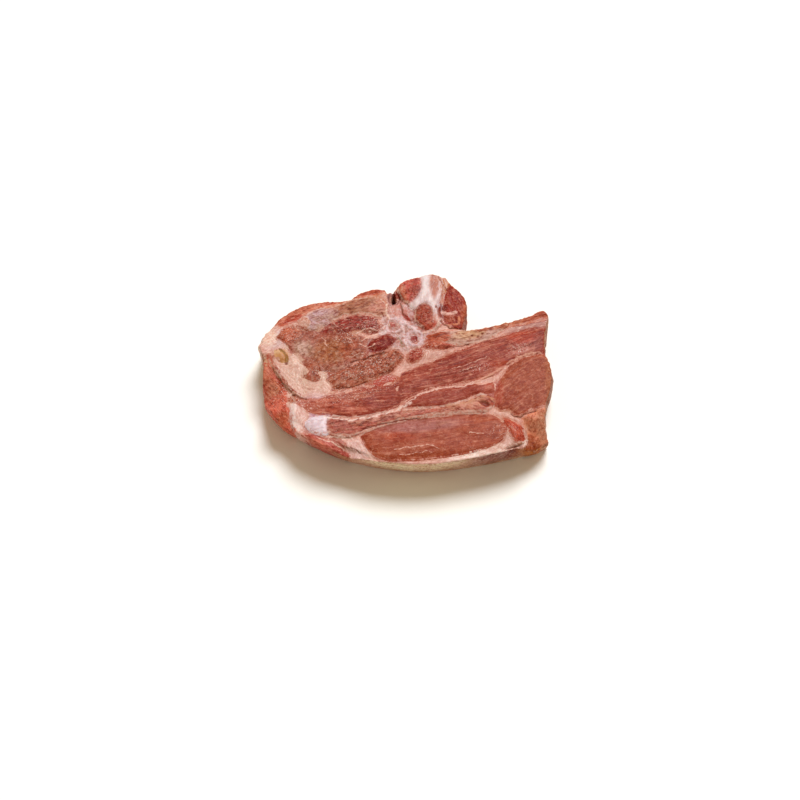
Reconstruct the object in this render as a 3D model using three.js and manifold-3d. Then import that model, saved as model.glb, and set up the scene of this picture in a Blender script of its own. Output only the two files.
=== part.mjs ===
// A thick slice of raw goat shoulder, bone in, lying on its lower cut face.
// The saw has gone through the shoulder blade, a rib and the edge of the backbone, so each muscle, bone
// and fat seam runs through the slice from the upper cut face to the lower one.
// Millimetres, +Z up. X runs from the neck end (-) to the outer end (+), and Y from the skin side (-) to the
// backbone (+). The origin is the middle of the slice's box, on the surface that it rests on.
import * as THREE from "three";
import { mergeVertices } from "three/addons/utils/BufferGeometryUtils.js";
import Module from "manifold-3d";

const wasm = await Module();
wasm.setup();

// Driving dimensions
const thickness = 26; // from one cut face to the other
const halfLength = 100; // the rim's reach to either side
const skinSide = -78; // the rim's reach to the skin side
const backboneSide = 76; // the rim's reach to the backbone side
const seam = 1.9; // fat between two muscles that lie side by side
const closeSeam = 1.3; // fat between a bone and the muscle on it
const clearance = 0.3; // between two pieces that touch
const undercut = { neckEnd: 12.5, outerEnd: 6.5 }; // how far the skin side draws in towards the lower cut face
const rimStep = 4.5; // length of a side facet along the rim
const edgeRise = 0.3; // how far the cut edge of a muscle stands over the fat
const crown = 1.1; // how far the middle of a muscle swells over its edge
const swellShares = [0, 0.16, 0.5, 0.84, 1]; // where the upper face of a piece has its points, edge to edge
const swellCurve = { sides: 0.7, tips: 0.6, tipLength: 0.2 }; // how soon the swell rises from edges and tips
const sharpestCorner = 0.5; // least spread of a corner, which keeps its point from running out too far
const tall = 6; // how far a cutting block passes both cut faces
const mergeDistance = 1e-4; // corners closer than this are one
const flesh = { roughness: 0.42, metalness: 0 };

// Side of the slice: height above the lower cut face, and how far the side is drawn in there.
const sideProfile = [[0, 1.6], [3, 0.6], [11, 0], [20, 0.3], [thickness, 1.2]];
const sideAbove = [thickness + tall, 3.4]; // the same above the upper cut face, for what stands over it

// Places where the upper face sinks, as [x, y, radius, share of the height lost].
const sags = [
  [-97, -24, 17, 0.42], [-83, -48, 13, 0.2], [93, -60, 22, 0.45], [-40, -72, 16, 0.14],
  [-60, 14, 26, 0.06], [44, 34, 14, 0.1],
];

// Rim of the slice seen from above, clockwise from the tip of the neck end. A corner is a place where the
// curve breaks.
const rim = [
  [
    [-100.5, 16.5], [-96.5, 26], [-84.5, 40], [-70, 49.5], [-52, 53.5], [-38, 56], [-31, 61],
    [-21, 64.5], [-14, 63.8],
  ],
  [
    [-14, 63.8], [-13.6, 61], [-11, 59.6], [-7, 62.5], [-3, 69.5], [8.5, 74], [20.5, 76.5],
    [29.5, 72.5], [33, 66.5], [38.5, 61.5], [42.3, 54], [42.8, 44], [40.5, 31],
  ],
  [[40.5, 31], [57, 32], [72.5, 36.5], [86.5, 41], [95.5, 45.5], [99, 42]],
  [[99, 42], [97, 26], [96.3, 12], [100.5, -5], [99.5, -18], [95.5, -32], [94.5, -45], [97.5, -55]],
  [
    [97.5, -55], [90, -60.5], [74, -66], [56, -71.2], [39, -75], [22, -77.8], [6, -78.6], [-8, -77.6],
    [-23, -75.4], [-39, -70.8], [-56, -63.5], [-70, -55.5], [-84, -44.5], [-93, -31.5], [-96.3, -17],
    [-96.8, 2], [-100.5, 16.5],
  ],
];

// Each piece has a far edge and a near edge, both from its first tip to its last one, as seen from above.
// Pieces that show at the side run past the rim, which trims them. A piece gives way to those before it.
const bones = [
  {
    name: "blade_bone",
    far: [
      [-53, -48], [-51, -41.8], [-37, -43.5], [-18, -40], [0, -36.5], [27, -34], [42, -29], [53, -24],
      [59.5, -29],
    ],
    near: [
      [-53, -48], [-51, -54.3], [-36, -56.3], [-20.5, -50], [-2, -44], [20, -40], [45, -37.5],
      [56, -36.5], [59.5, -29],
    ],
    steps: 24,
    rise: 0.9,
    crown: 0.5,
    color: "#c98f7c",
  },
  {
    name: "blade_cartilage",
    far: [[-66.5, -47.5], [-63, -42.8], [-58, -40.6], [-50.5, -41.4], [-46, -48]],
    near: [[-66.5, -47.5], [-62.5, -52.5], [-58, -54.7], [-50.5, -54.4], [-46, -48]],
    steps: 8,
    rise: 0.9,
    crown: 0.6,
    joins: ["blade_bone"],
    color: "#dcc9cd",
  },
  {
    name: "rib_bone",
    far: [[-72.5, 36.5], [-63, 45], [-48, 48.5], [-33.5, 54.5], [-18.5, 56], [-11.5, 47.5]],
    near: [[-72.5, 36.5], [-62.5, 30], [-51, 36], [-37.5, 42], [-23.5, 42], [-16, 40.5], [-11.5, 47.5]],
    steps: 20,
    rise: 0.5,
    crown: 0.4,
    color: "#a9826f",
  },
  {
    name: "vertebra_body",
    far: [[-4.5, 60], [-4, 68.5], [4, 75.5], [11, 72], [11.7, 64]],
    near: [[-4.5, 60], [-1.5, 54], [4, 51], [9, 56.5], [11.7, 64]],
    steps: 12,
    rise: 1.1,
    crown: 0.6,
    color: "#a9604d",
  },
  {
    name: "vertebra_arch",
    far: [[14.5, 29], [8.5, 34.5], [7, 42.5], [9, 48.5], [13.5, 51]],
    near: [[14.5, 29], [18.7, 34.5], [20.2, 41.5], [18.6, 48], [13.5, 51]],
    steps: 12,
    rise: 1.1,
    crown: 0.7,
    color: "#a4604e",
  },
  {
    name: "vertebra_cartilage",
    far: [
      [20, 29.5], [19, 40], [14, 47], [5.8, 45], [2.6, 50.5], [7.5, 57], [8, 68], [6, 78], [14, 84],
    ],
    near: [[20, 29.5], [24.6, 34], [23.6, 44], [25.5, 54.5], [27.5, 63], [25.5, 72], [21, 80], [14, 84]],
    steps: 22,
    rise: 1.1,
    crown: 0.5,
    joins: ["vertebra_body", "vertebra_arch"],
    color: "#d5c3c6",
  },
  {
    name: "rib_end",
    far: [[16.5, 23.5], [26, 27.5], [38, 28.8], [46, 38], [66, 42], [71.5, 34]],
    near: [[16.5, 23.5], [24, 19.2], [36.5, 17.5], [51.5, 20], [62.5, 25.5], [71.5, 34]],
    steps: 16,
    rise: 0.4,
    crown: 0.5,
    color: "#bd8d6a",
  },
  {
    name: "neck_ligament",
    far: [[-89, 12.5], [-86, 15.5], [-82, 12.5], [-79.6, 3.5]],
    near: [[-89, 12.5], [-88, 8], [-84, 3.2], [-79.6, 3.5]],
    steps: 8,
    rise: 0.1,
    crown: 0.4,
    color: "#cfb184",
  },
];

const muscles = [
  {
    name: "muscle_slip_left",
    far: [[1.5, 5.5], [4, 10], [8.5, 12.6], [12.5, 11.5]],
    near: [[1.5, 5.5], [4, 2], [9, 4], [12.5, 11.5]],
    steps: 8,
    color: "#9f4438",
  },
  {
    name: "muscle_slip_right",
    far: [[12, 14.3], [17, 20.5], [21, 21.5], [33.5, 15.5]],
    near: [[12, 14.3], [19, 13.4], [27, 13.7], [33.5, 15.5]],
    steps: 9,
    color: "#b0503f",
  },
  {
    name: "muscle_spinal_oval",
    far: [[-24.5, 15.5], [-18.5, 22], [-11, 24], [-5.8, 21.3]],
    near: [[-24.5, 15.5], [-19, 12.8], [-11, 14.8], [-5.8, 21.3]],
    steps: 10,
    color: "#8c342f",
  },
  {
    name: "muscle_chuck_small",
    far: [[-68.5, -3], [-66.5, 0.5], [-61.5, 1.5], [-57, -1.5]],
    near: [[-68.5, -3], [-67.5, -9.5], [-62.5, -13.2], [-58, -10.5], [-57, -1.5]],
    steps: 9,
    color: "#a2543f",
  },
  {
    name: "muscle_infraspinatus",
    far: [[-29.5, -56.5], [-20, -50.5], [-2, -45], [22, -41.3], [43.5, -39.3], [61, -41.3], [68, -51]],
    near: [
      [-29.5, -56.5], [-23, -68.5], [-16, -73.6], [0, -75.2], [30, -71.6], [52, -66], [64, -59], [68, -51],
    ],
    steps: 26,
    color: "#a8534a",
  },
  {
    name: "muscle_supraspinatus",
    far: [[60.5, -31], [62.5, -20], [67, -7.5], [76, 3], [95, 8.5], [104, 0], [106, -22]],
    near: [[60.5, -31], [64, -35.3], [70, -36], [75, -40.2], [83, -36], [94, -31], [106, -22]],
    steps: 20,
    color: "#a9544a",
  },
  {
    name: "muscle_subscapularis",
    far: [[-4, -34], [4.5, -26.5], [19.5, -20], [38.5, -16.8], [56, -14.3], [61.5, -17.5]],
    near: [[-4, -34], [15, -34], [31, -31.8], [45, -25], [56, -22.5], [61.5, -17.5]],
    steps: 20,
    color: "#a34c44",
  },
  {
    name: "muscle_serratus",
    far: [
      [-68, -32.5], [-54.5, -27.5], [-29, -19.5], [-9, -13.3], [4, -4.3], [20, 2.3], [37.5, 11.8],
      [60, 21], [79, 27], [98, 30], [118, 21],
    ],
    near: [
      [-68, -32.5], [-62, -38.5], [-40, -41.3], [-18, -38.5], [-2, -31], [12, -21.3], [34, -15.3],
      [58, -8.5], [74, 3.5], [98, 11], [118, 21],
    ],
    steps: 34,
    color: "#a54b42",
  },
  {
    name: "muscle_chest",
    far: [[77, -42], [87, -36.5], [106, -30], [108, -60], [94, -88]],
    near: [[77, -42], [80.5, -48], [81.5, -56], [79.5, -66], [94, -88]],
    steps: 16,
    rise: -1,
    color: "#b4603f",
  },
  {
    name: "muscle_teres",
    far: [[65.5, -42], [72, -45.2], [77.5, -50], [79.3, -56]],
    near: [[65.5, -42], [69, -52], [74, -60.2], [79.3, -56]],
    steps: 10,
    color: "#b9533b",
  },
  {
    name: "muscle_neck",
    far: [[-92.5, 8], [-90, -1], [-82, -14], [-75, -24], [-76.8, -34], [-76.3, -43], [-72.5, -55]],
    near: [[-92.5, 8], [-106, 0], [-110, -25], [-102, -45], [-90, -60], [-72.5, -55]],
    steps: 18,
    rise: -3,
    color: "#b4553d",
  },
  {
    name: "muscle_breast_tip",
    far: [[-66.5, -55], [-61, -54.5], [-50.5, -59.5], [-42, -63.5], [-36.5, -69.5]],
    near: [[-66.5, -55], [-58, -64.5], [-47, -70.5], [-39, -72], [-36.5, -69.5]],
    steps: 14,
    rise: -0.6,
    color: "#a9433b",
  },
  {
    name: "muscle_between_ribs",
    far: [[-99, 17], [-102, 36], [-80, 60], [-50, 68], [-25, 76], [-8, 66]],
    near: [[-99, 17], [-88.5, 29], [-75, 37.8], [-60, 48], [-44, 51.6], [-28, 57.4], [-17.5, 60], [-8, 66]],
    steps: 24,
    rise: -1.6,
    color: "#bb6047",
  },
  {
    name: "muscle_spinal_upper",
    far: [[-57, 28.5], [-46, 36.4], [-30, 41], [-19.5, 38.5], [-16, 32.5]],
    near: [[-57, 28.5], [-42.5, 27.8], [-28, 27.6], [-19, 27.6], [-16, 32.5]],
    steps: 14,
    color: "#8f3f38",
  },
  {
    name: "muscle_spinal_lower",
    far: [[-51, -12.5], [-45.5, -6], [-37, -1.5], [-28, 4.2], [-14, 10.6], [-4, 11.4], [-1, 6]],
    near: [[-51, -12.5], [-47.5, -18.3], [-38, -17.5], [-19, -9.7], [-5, -1.5], [-1, 6]],
    steps: 18,
    color: "#96503a",
  },
  {
    name: "muscle_chuck",
    far: [[-88, 23.5], [-82, 30.7], [-70, 30.6], [-58, 26.2], [-44, 25.4], [-31.5, 24.4], [-27, 14]],
    near: [[-88, 23.5], [-81, 15.5], [-73, 6], [-65, -3], [-54, -5.5], [-46, -6], [-33, 3], [-27, 14]],
    steps: 24,
    rise: -0.5,
    joins: ["muscle_chuck_small", "muscle_spinal_lower"],
    color: "#9a5240",
  },
  {
    name: "muscle_backbone",
    far: [[28.5, 62], [36, 72], [50, 62], [52, 42], [40.5, 29]],
    near: [[28.5, 62], [27.5, 54], [23.5, 43], [27, 35.5], [33, 31.6], [40.5, 29]],
    steps: 16,
    rise: -0.8,
    color: "#a44739",
  },
  {
    name: "muscle_top_strip",
    far: [[73.5, 33], [77, 46], [90, 54], [108, 45]],
    near: [[73.5, 33], [82, 35], [91, 38.2], [108, 45]],
    steps: 10,
    rise: -0.8,
    color: "#bd5a45",
  },
];

const fatColor = "#dcb0a2";

// The hollow between the rib and the backbone, which opens at the rim.
const pit = { centre: [-7.8, 55.6], radius: 2.9, stretch: 1.9, floorShare: 0.5, depth: 15, sides: 16 };

// A smooth curve through some points, as steps + 1 evenly spaced points.
function smoothCurve(points, steps) {
  const places = points.map(([x, y]) => new THREE.Vector3(x, y, 0));
  const curve = new THREE.CatmullRomCurve3(places, false, "centripetal");
  return curve.getSpacedPoints(steps).map((p) => new THREE.Vector2(p.x, p.y));
}

// A closed ring moved outwards by a distance, or inwards by a negative one.
function offsetRing(ring, distance) {
  const outward = THREE.ShapeUtils.isClockWise(ring) ? -1 : 1;
  return ring.map((point, i) => {
    const before = ring[(i + ring.length - 1) % ring.length];
    const after = ring[(i + 1) % ring.length];
    const inStep = point.clone().sub(before).normalize();
    const outStep = after.clone().sub(point).normalize();
    const along = inStep.clone().add(outStep).normalize();
    const normal = new THREE.Vector2(along.y, -along.x).multiplyScalar(outward);
    const spread = Math.max(sharpestCorner, along.dot(inStep));
    return point.clone().addScaledVector(normal, distance / spread);
  });
}

// A solid from the corners of its triangles, three by three, turned so that they face outwards.
function closedSolid(corners) {
  let volume = 0;
  for (let i = 0; i < corners.length; i += 3) {
    volume += corners[i].dot(corners[i + 1].clone().cross(corners[i + 2]));
  }
  const outward = volume < 0 ? corners.slice().reverse() : corners;
  const merged = mergeVertices(new THREE.BufferGeometry().setFromPoints(outward), mergeDistance);
  const index = merged.index.array;
  const kept = [];
  for (let i = 0; i < index.length; i += 3) {
    const [a, b, c] = index.slice(i, i + 3);
    if (a !== b && b !== c && c !== a) kept.push(a, b, c);
  }
  return new wasm.Manifold(
    new wasm.Mesh({
      numProp: 3,
      vertProperties: merged.attributes.position.array,
      triVerts: new Uint32Array(kept),
    }),
  );
}

// A solid from a stack of rings with equally many points, each at its own height.
function stack(rings, heights) {
  const count = rings[0].length;
  const corners = [];
  const at = (level, i) => {
    const point = rings[level][i % count];
    return new THREE.Vector3(point.x, point.y, heights[level]);
  };
  for (let level = 0; level + 1 < rings.length; level += 1) {
    for (let i = 0; i < count; i += 1) {
      corners.push(at(level, i), at(level, i + 1), at(level + 1, i));
      corners.push(at(level, i + 1), at(level + 1, i + 1), at(level + 1, i));
    }
  }
  const cap = (level, order) => {
    for (const face of THREE.ShapeUtils.triangulateShape(rings[level], [])) {
      corners.push(...order.map((k) => at(level, face[k])));
    }
  };
  const clockwise = THREE.ShapeUtils.isClockWise(rings[0]);
  cap(0, clockwise ? [0, 1, 2] : [2, 1, 0]);
  cap(rings.length - 1, clockwise ? [2, 1, 0] : [0, 1, 2]);
  return closedSolid(corners);
}

// The two edges of a piece, which share their tips, and the closed outline that they make.
function outlineOf(piece) {
  const far = smoothCurve(piece.far, piece.steps);
  const near = smoothCurve(piece.near, piece.steps);
  return { far, near, ring: [...far, ...near.slice(1, -1).reverse()] };
}

// An upright block with a piece's outline moved out by a distance, tall enough to cut with.
function cutter(piece, distance) {
  const ring = offsetRing(outlineOf(piece).ring, distance);
  return stack([ring, ring], [-tall, thickness + tall]);
}

// A piece as a block whose upper face swells between its two edges and sinks to its tips.
function swollenBlock(piece) {
  const { far, near } = outlineOf(piece);
  const last = far.length - 1;
  const edge = thickness + edgeRise + (piece.rise ?? 0);
  const rows = far.map((start, i) => {
    const fromTip = Math.min(i, last - i) / last;
    const endRise = Math.min(1, fromTip / swellCurve.tipLength) ** swellCurve.tips;
    return swellShares.map((share) => {
      const sideRise = (4 * share * (1 - share)) ** swellCurve.sides;
      const point = start.clone().lerp(near[i], share);
      return new THREE.Vector3(point.x, point.y, edge + (piece.crown ?? crown) * endRise * sideRise);
    });
  });
  const corners = [];
  const quad = (a, b, c, d) => corners.push(a, b, c, a, c, d);
  const foot = (point) => new THREE.Vector3(point.x, point.y, 0);
  const end = swellShares.length - 1;
  for (let i = 0; i < last; i += 1) {
    const [row, next] = [rows[i], rows[i + 1]];
    for (let j = 0; j < end; j += 1) quad(row[j], row[j + 1], next[j + 1], next[j]);
    quad(foot(row[0]), foot(next[0]), foot(next[end]), foot(row[end]));
    quad(row[0], next[0], foot(next[0]), foot(row[0]));
    quad(next[end], row[end], foot(row[end]), foot(next[end]));
  }
  return closedSolid(corners);
}

// The whole slice, as a solid of the rim's outline with this side profile.
function sliceSolid(profile) {
  const ring = rim.flatMap((stretch) => {
    const points = stretch.map(([x, y]) => new THREE.Vector2(x, y));
    const length = points.slice(1).reduce((sum, p, i) => sum + p.distanceTo(points[i]), 0);
    return smoothCurve(stretch, Math.ceil(length / rimStep)).slice(0, -1);
  });
  const rings = profile.map(([, inset]) => offsetRing(ring, -inset));
  return stack(rings, profile.map(([height]) => height));
}

// The hollow beside the backbone, as a solid to cut out.
function pitSolid() {
  const oval = (radius) =>
    Array.from({ length: pit.sides }, (_, i) => {
      const angle = (i / pit.sides) * 2 * Math.PI;
      const offset = new THREE.Vector2(Math.cos(angle), pit.stretch * Math.sin(angle));
      return offset.multiplyScalar(radius).add(new THREE.Vector2(...pit.centre));
    });
  const rings = [oval(pit.radius * pit.floorShare), oval(pit.radius), oval(pit.radius)];
  return stack(rings, [thickness - pit.depth, thickness, thickness + tall]);
}

// The vertices and triangles of a solid's largest body, without the crumbs that a cut may leave.
function largestBody(solid) {
  const { vertProperties, triVerts, numProp } = solid.getMesh();
  const root = Array.from({ length: vertProperties.length / numProp }, (_, i) => i);
  const find = (i) => {
    while (root[i] !== i) i = root[i];
    return i;
  };
  for (let i = 0; i < triVerts.length; i += 3) {
    for (const k of [1, 2]) {
      const [a, b] = [find(triVerts[i]), find(triVerts[i + k])];
      root[Math.max(a, b)] = Math.min(a, b);
    }
  }
  const bodies = new Map();
  for (let i = 0; i < triVerts.length; i += 3) {
    const key = find(triVerts[i]);
    if (!bodies.has(key)) bodies.set(key, []);
    bodies.get(key).push(...triVerts.slice(i, i + 3));
  }
  const index = [...bodies.values()].sort((a, b) => b.length - a.length)[0];
  return { positions: Array.from(vertProperties), index };
}

// A smooth fall from 1 at the middle of a place to 0 at its radius.
function fade(distance, radius) {
  const share = Math.min(1, distance / radius);
  return (1 - share * share) ** 2;
}

// Moves a point of the upright slice to its real place: the skin side leans in below, and the upper cut
// face sinks at the sags.
function relax(point) {
  const depth = 1 - point.z / thickness;
  const towardsSkin = (backboneSide - point.y) / (backboneSide - skinSide);
  const towardsOuterEnd = (point.x + halfLength) / (2 * halfLength);
  const lean = THREE.MathUtils.lerp(undercut.neckEnd, undercut.outerEnd, towardsOuterEnd);
  const lost = sags.reduce((sum, [x, y, radius, share]) => {
    return sum + share * fade(Math.hypot(point.x - x, point.y - y), radius);
  }, 0);
  point.y += lean * depth * towardsSkin;
  point.z *= 1 - lost;
}

// A named mesh of a solid, in its real place.
function meshOf(name, solid, color) {
  const { positions, index } = largestBody(solid);
  const geometry = new THREE.BufferGeometry();
  geometry.setAttribute("position", new THREE.Float32BufferAttribute(positions, 3));
  geometry.setIndex(index);
  const place = geometry.getAttribute("position");
  const point = new THREE.Vector3();
  for (let i = 0; i < place.count; i += 1) {
    relax(point.fromBufferAttribute(place, i));
    place.setXYZ(i, point.x, point.y, point.z);
  }
  geometry.computeVertexNormals();
  const mesh = new THREE.Mesh(geometry, new THREE.MeshStandardMaterial({ color, ...flesh }));
  mesh.name = name;
  return mesh;
}

const pieces = [...bones, ...muscles];
const isBone = (piece) => bones.includes(piece);
const gapTo = (piece, other) => {
  if (piece.joins?.includes(other.name)) return clearance;
  return isBone(piece) || isBone(other) ? closeSeam : seam;
};

const slice = sliceSolid(sideProfile);
const raisedSlice = sliceSolid([...sideProfile, sideAbove]);
const group = new THREE.Group();
let fat = slice.subtract(pitSolid());
pieces.forEach((piece, i) => {
  let body = swollenBlock(piece).intersect(raisedSlice);
  let room = cutter(piece, clearance);
  for (const other of pieces.slice(0, i)) {
    const gap = gapTo(piece, other);
    body = body.subtract(cutter(other, gap));
    room = room.subtract(cutter(other, Math.max(0, gap - clearance)));
  }
  fat = fat.subtract(room);
  group.add(meshOf(piece.name, body, piece.color));
});
group.add(meshOf("fat_seams", fat, fatColor));

const middle = new THREE.Box3().setFromObject(group).getCenter(new THREE.Vector3());
group.children.forEach((mesh) => mesh.position.set(-middle.x, -middle.y, 0));

export default group;
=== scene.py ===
import math

import bmesh
import bpy
import numpy as np
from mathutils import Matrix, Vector, noise
from mathutils.bvhtree import BVHTree
from mathutils.kdtree import KDTree


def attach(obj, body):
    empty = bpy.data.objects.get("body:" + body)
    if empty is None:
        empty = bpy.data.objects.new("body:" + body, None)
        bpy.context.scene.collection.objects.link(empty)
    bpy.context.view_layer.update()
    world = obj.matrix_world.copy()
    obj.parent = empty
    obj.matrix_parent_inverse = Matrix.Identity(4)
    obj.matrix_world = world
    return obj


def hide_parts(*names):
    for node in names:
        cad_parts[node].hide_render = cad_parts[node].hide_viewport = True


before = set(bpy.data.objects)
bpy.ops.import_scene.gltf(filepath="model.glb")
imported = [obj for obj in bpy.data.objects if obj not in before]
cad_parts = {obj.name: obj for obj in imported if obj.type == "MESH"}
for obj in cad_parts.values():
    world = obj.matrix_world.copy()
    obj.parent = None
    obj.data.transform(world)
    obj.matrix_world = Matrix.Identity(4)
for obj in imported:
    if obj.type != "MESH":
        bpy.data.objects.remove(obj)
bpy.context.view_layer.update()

# A thick raw slice of goat shoulder, lying on its lower cut face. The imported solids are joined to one
# skin, that skin is sculpted as one surface, and then it is cut into the pieces again, so fibres,
# creases and seams run on from piece to piece.
mm = 0.001

# One dictionary for each piece: its finish, its colour, the angle of its fibres seen from above, how
# much they bend, how long they look for their width, how coarse they look, and the relief in mm of the
# muscles and bones.
pieces = {
    # the neck's red is made lighter than its own: painted light, where its face slopes away from the lamp
    "muscle_neck": dict(kind="lean", color="#cc644f", angle=-50, length=3, coarse=1.0, relief=0.22),
    "muscle_between_ribs": dict(kind="lean", color="#b8573e", angle=25, length=4, coarse=1.1, relief=0.30),
    "muscle_chuck": dict(kind="dryLean", color="#a05745", angle=20, length=2, coarse=0.8, relief=0.12),
    "muscle_chuck_small": dict(
        kind="dryLean", color="#a05038", angle=60, length=2, coarse=0.9, relief=0.12),
    "muscle_spinal_upper": dict(
        kind="dryLean", color="#95342c", angle=12, length=3, coarse=1.2, relief=0.20),
    "muscle_spinal_oval": dict(kind="lean", color="#7c1b10", angle=25, length=3, coarse=0.8, relief=0.12),
    "muscle_spinal_lower": dict(
        kind="dryLean", color="#a04c31", angle=35, length=2, coarse=1.3, relief=0.26),
    "muscle_slip_left": dict(kind="lean", color="#a04436", angle=30, length=2, coarse=1.2, relief=0.20),
    "muscle_slip_right": dict(kind="lean", color="#ac5240", angle=15, length=2, coarse=1.2, relief=0.22),
    "muscle_backbone": dict(kind="lean", color="#922514", angle=-60, length=2, coarse=0.9, relief=0.22),
    "muscle_top_strip": dict(kind="lean", color="#ac523f", angle=20, length=6, coarse=1.0, relief=0.22),
    "muscle_serratus": dict(
        kind="lean", color="#964031", angle=10, bend=0.0016, length=8, coarse=0.9, relief=0.16),
    "muscle_subscapularis": dict(kind="lean", color="#974232", angle=14, length=7, coarse=0.5, relief=0.12),
    "muscle_supraspinatus": dict(kind="lean", color="#9d4d35", angle=35, length=3, coarse=0.6, relief=0.10),
    "muscle_infraspinatus": dict(kind="lean", color="#a04d34", angle=8, length=9, coarse=0.5, relief=0.08),
    "muscle_teres": dict(kind="lean", color="#b44a33", angle=-50, length=4, coarse=1.0, relief=0.20),
    "muscle_chest": dict(kind="lean", color="#da8868", angle=80, length=2, coarse=0.9, relief=0.22),
    "muscle_breast_tip": dict(kind="lean", color="#b0544a", angle=-25, length=4, coarse=1.0, relief=0.20),
    "blade_bone": dict(kind="bone", color="#ad594b", angle=6, length=3, coarse=1.0, relief=0.24),
    "rib_bone": dict(kind="bone", color="#a96a51", angle=20, length=3, coarse=0.8, relief=0.18),
    "rib_end": dict(kind="bone", color="#be9288", angle=15, length=3, coarse=0.8, relief=0.24),
    "vertebra_body": dict(kind="bone", color="#c05143", angle=0, length=1, coarse=0.8, relief=0.22),
    "vertebra_arch": dict(kind="bone", color="#9d3c25", angle=0, length=1, coarse=0.8, relief=0.26),
    "vertebra_cartilage": dict(kind="cartilage", color="#dccccc", angle=80, length=3, coarse=1.0),
    "blade_cartilage": dict(kind="cartilage", color="#dccbd4", angle=0, length=2, coarse=0.7),
    "neck_ligament": dict(kind="ligament", color="#c08a5c", angle=-60, length=3, coarse=0.8),
    "fat_seams": dict(kind="fat", color="#cc9484", angle=20, length=3, coarse=1.0),
}


def oval(x, y, long, wide, turn=0, **rest):
    # a place seen from above: its middle and half lengths in mm, its turn in degrees
    return dict(at=(x, y), size=(long, wide), turn=turn, **rest)


def line(width, *points, **rest):
    # a line seen from above, through points in mm
    return dict(width=width, points=points, **rest)


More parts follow.
